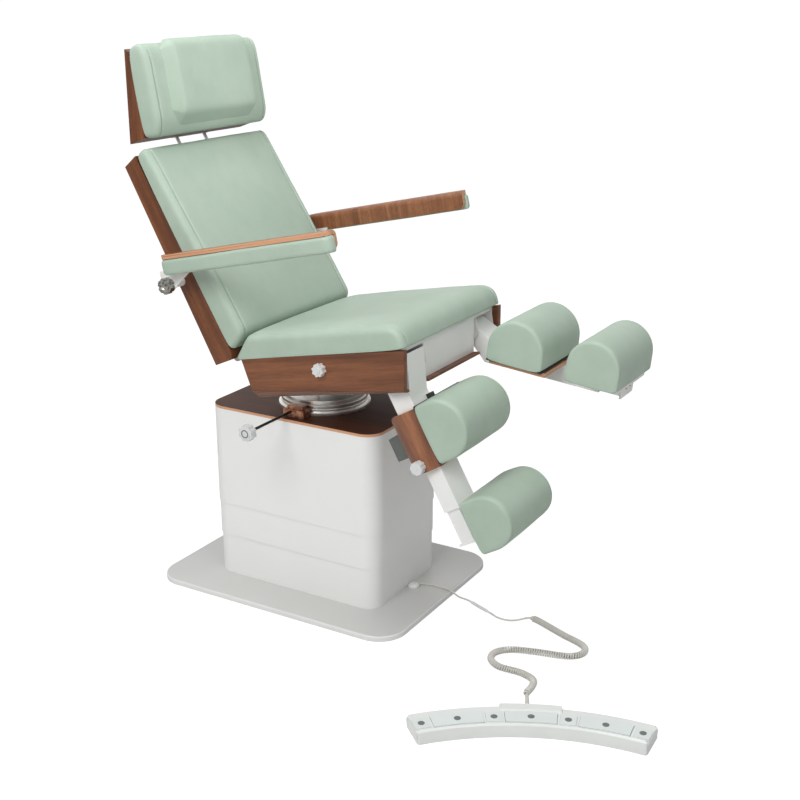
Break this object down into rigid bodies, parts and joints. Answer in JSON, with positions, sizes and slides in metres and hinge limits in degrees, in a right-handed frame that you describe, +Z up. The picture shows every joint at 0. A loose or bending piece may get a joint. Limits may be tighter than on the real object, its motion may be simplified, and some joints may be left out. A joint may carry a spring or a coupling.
{
  "type": "podiatry chair",
  "caption": "Treatment chair on a lifting and swivelling column, with a reclining back, headrest, swing-up armrests, a split leg rest and a wired foot control.",
  "frame": {"origin": "on the floor, on the swivel axis of the column", "axes": "+Z up, +X to the front of the chair, +Y to the sitter's left"},
  "size_m": [1.6534, 1.0583, 1.5703],
  "materials": {
    "upholstery": "pale green artificial leather, matt",
    "cord": "beige grey cable sheath",
    "control_plastic": "near white moulded",
    "painted_frame": "light grey powder coat",
    "white_paint": "white powder coat, satin",
    "drive": "dark housing",
    "bare_steel": "turned",
    "chrome": "polished",
    "grey_knob": "moulded",
    "white_knob": "moulded",
    "dark_board": "dark stained board",
    "walnut": "walnut veneered plywood, satin"
  },
  "bodies": {
    "base": {"base_plate": "white_paint", "base_glands": "white_paint", "lower_cover": "white_paint", "lift_outer_tube": "painted_frame", "lift_drive": "drive", "foot_lead": "cord", "inline_connector": "control_plastic", "curly_cord": "cord", "cord_relief": "cord", "foot_housing": "control_plastic"},
    "lift": {"lift_inner_tube": "painted_frame", "upper_cover": "white_paint", "column_top_board": "dark_board", "swivel_ring": "bare_steel", "brake_block": "bare_steel"},
    "lift_mid": {"middle_cover": "white_paint", "lift_middle_tube": "painted_frame"},
    "brake": {"brake_knob": "white_knob"},
    "swivel": {"turntable": "painted_frame", "tilt_drive": "drive"},
    "seat": {"seat_frame": "painted_frame", "seat_side_panels": "walnut", "seat_under_panel": "walnut", "seat_front_panel": "white_paint", "seat_cushion": "upholstery", "leg_brackets": "painted_frame"},
    "side_knob": {"side_knob": "chrome"},
    "back": {"backrest_tray": "walnut", "back_frame": "painted_frame", "backrest_cushion": "upholstery"},
    "head_posts": {"headrest_posts": "bare_steel"},
    "head": {"headrest_shell": "walnut", "headrest_cushion": "upholstery"},
    "arm_right": {"armrest_bracket_right": "painted_frame", "armrest_shell_right": "walnut", "armrest_pad_right": "upholstery"},
    "arm_knob_right": {"armrest_knob_right": "grey_knob"},
    "leg_right": {"leg_tube_right": "white_paint", "leg_saddle_right": "walnut", "calf_cushion_right": "upholstery"},
    "slide_right": {"leg_slider_right": "white_paint", "heel_cushion_right": "upholstery"},
    "leg_knob_right": {"leg_knob_right": "white_knob"},
    "arm_left": {"armrest_bracket_left": "painted_frame", "armrest_shell_left": "walnut", "armrest_pad_left": "upholstery"},
    "arm_knob_left": {"armrest_knob_left": "grey_knob"},
    "leg_left": {"leg_tube_left": "white_paint", "leg_saddle_left": "walnut", "calf_cushion_left": "upholstery"},
    "slide_left": {"leg_slider_left": "white_paint", "heel_cushion_left": "upholstery"},
    "leg_knob_left": {"leg_knob_left": "white_knob"},
    "rocker_1": {"foot_rocker_1": "control_plastic"},
    "rocker_2": {"foot_rocker_2": "control_plastic"},
    "rocker_3": {"foot_rocker_3": "control_plastic"},
    "button_1": {"foot_button_1": "control_plastic"},
    "button_2": {"foot_button_2": "control_plastic"},
    "button_3": {"foot_button_3": "control_plastic"},
    "button_4": {"foot_button_4": "control_plastic"}
  },
  "joints": [
    {"name": "lift_height", "type": "slide", "parent": "base", "child": "lift", "axis": [0, 0, 1], "range_m": [-0.18, 0.12]},
    {"name": "lift_mid_height", "type": "slide", "parent": "base", "child": "lift_mid", "axis": [0, 0, 1], "range_m": [-0.09, 0.06]},
    {"name": "brake_turn", "type": "hinge", "parent": "lift", "child": "brake", "pos_m": [-0.006, -0.369, 0.565], "axis": [0, 1, 0], "range_deg": [0, 180]},
    {"name": "swivel_turn", "type": "hinge", "parent": "lift", "child": "swivel", "pos_m": [0, 0, 0.55], "axis": [0, 0, 1], "range_deg": [-170, 170]},
    {"name": "seat_tilt", "type": "hinge", "parent": "swivel", "child": "seat", "pos_m": [0, 0, 0.69], "axis": [0, -1, 0], "range_deg": [-6, 9]},
    {"name": "side_knob_turn", "type": "hinge", "parent": "seat", "child": "side_knob", "pos_m": [0.17694, -0.28, 0.74953], "axis": [0, 1, 0], "range_deg": [0, 180]},
    {"name": "back_recline", "type": "hinge", "parent": "seat", "child": "back", "pos_m": [-0.1436, 0, 0.72284], "axis": [0, -1, 0], "range_deg": [0, 60]},
    {"name": "head_height", "type": "slide", "parent": "back", "child": "head_posts", "axis": [-0.5069, 0, 0.862], "range_m": [0, 0.09]},
    {"name": "head_tilt", "type": "hinge", "parent": "head_posts", "child": "head", "pos_m": [-0.45856, 0, 1.29981], "axis": [0, 1, 0], "range_deg": [-20, 8]},
    {"name": "arm_lift_right", "type": "hinge", "parent": "back", "child": "arm_right", "pos_m": [-0.28169, -0.28, 0.93397], "axis": [0, -1, 0], "range_deg": [0, 80]},
    {"name": "arm_knob_turn_right", "type": "hinge", "parent": "arm_right", "child": "arm_knob_right", "pos_m": [-0.28169, -0.336, 0.93397], "axis": [0, 1, 0], "range_deg": [0, 180]},
    {"name": "leg_lift_right", "type": "hinge", "parent": "seat", "child": "leg_right", "pos_m": [0.40816, -0.2, 0.77888], "axis": [0, -1, 0], "range_deg": [0, 62.5]},
    {"name": "leg_length_right", "type": "slide", "parent": "leg_right", "child": "slide_right", "axis": [0.4924, 0, -0.8704], "range_m": [-0.09, 0.05]},
    {"name": "leg_knob_turn_right", "type": "hinge", "parent": "leg_right", "child": "leg_knob_right", "pos_m": [0.47155, -0.245, 0.5259], "axis": [0, 1, 0], "range_deg": [0, 180]},
    {"name": "arm_lift_left", "type": "hinge", "parent": "back", "child": "arm_left", "pos_m": [-0.28169, 0.28, 0.93397], "axis": [0, -1, 0], "range_deg": [0, 80]},
    {"name": "arm_knob_turn_left", "type": "hinge", "parent": "arm_left", "child": "arm_knob_left", "pos_m": [-0.28169, 0.336, 0.93397], "axis": [0, 1, 0], "range_deg": [0, 180]},
    {"name": "leg_lift_left", "type": "hinge", "parent": "seat", "child": "leg_left", "pos_m": [0.40816, 0.2, 0.77888], "axis": [0, -1, 0], "range_deg": [-54.5, 8]},
    {"name": "leg_length_left", "type": "slide", "parent": "leg_left", "child": "slide_left", "axis": [0.9945, 0, -0.1045], "range_m": [-0.05, 0.1]},
    {"name": "leg_knob_turn_left", "type": "hinge", "parent": "leg_left", "child": "leg_knob_left", "pos_m": [0.66186, 0.245, 0.68244], "axis": [0, 1, 0], "range_deg": [0, 180]},
    {"name": "rocker_1_tilt", "type": "hinge", "parent": "base", "child": "rocker_1", "pos_m": [0.75551, -0.57849, 0.03], "axis": [-0.6388, 0.7694, 0], "range_deg": [-3, 3], "stiffness_Nm_per_rad": 2},
    {"name": "rocker_2_tilt", "type": "hinge", "parent": "base", "child": "rocker_2", "pos_m": [0.90626, -0.48171, 0.03], "axis": [-0.4337, 0.9011, 0], "range_deg": [-3, 3], "stiffness_Nm_per_rad": 2},
    {"name": "rocker_3_tilt", "type": "hinge", "parent": "base", "child": "rocker_3", "pos_m": [1.07595, -0.42427, 0.03], "axis": [-0.2028, 0.9792, 0], "range_deg": [-3, 3], "stiffness_Nm_per_rad": 2},
    {"name": "button_1_press", "type": "slide", "parent": "base", "child": "button_1", "axis": [0, 0, 1], "range_m": [-0.002, 0], "stiffness_N_per_m": 400},
    {"name": "button_2_press", "type": "slide", "parent": "base", "child": "button_2", "axis": [0, 0, 1], "range_m": [-0.002, 0], "stiffness_N_per_m": 400},
    {"name": "button_3_press", "type": "slide", "parent": "base", "child": "button_3", "axis": [0, 0, 1], "range_m": [-0.002, 0], "stiffness_N_per_m": 400},
    {"name": "button_4_press", "type": "slide", "parent": "base", "child": "button_4", "axis": [0, 0, 1], "range_m": [-0.002, 0], "stiffness_N_per_m": 400}
  ],
  "couplings": [
    {"joint": "lift_mid_height", "follows": "lift_height", "ratio": 0.5}
  ]
}
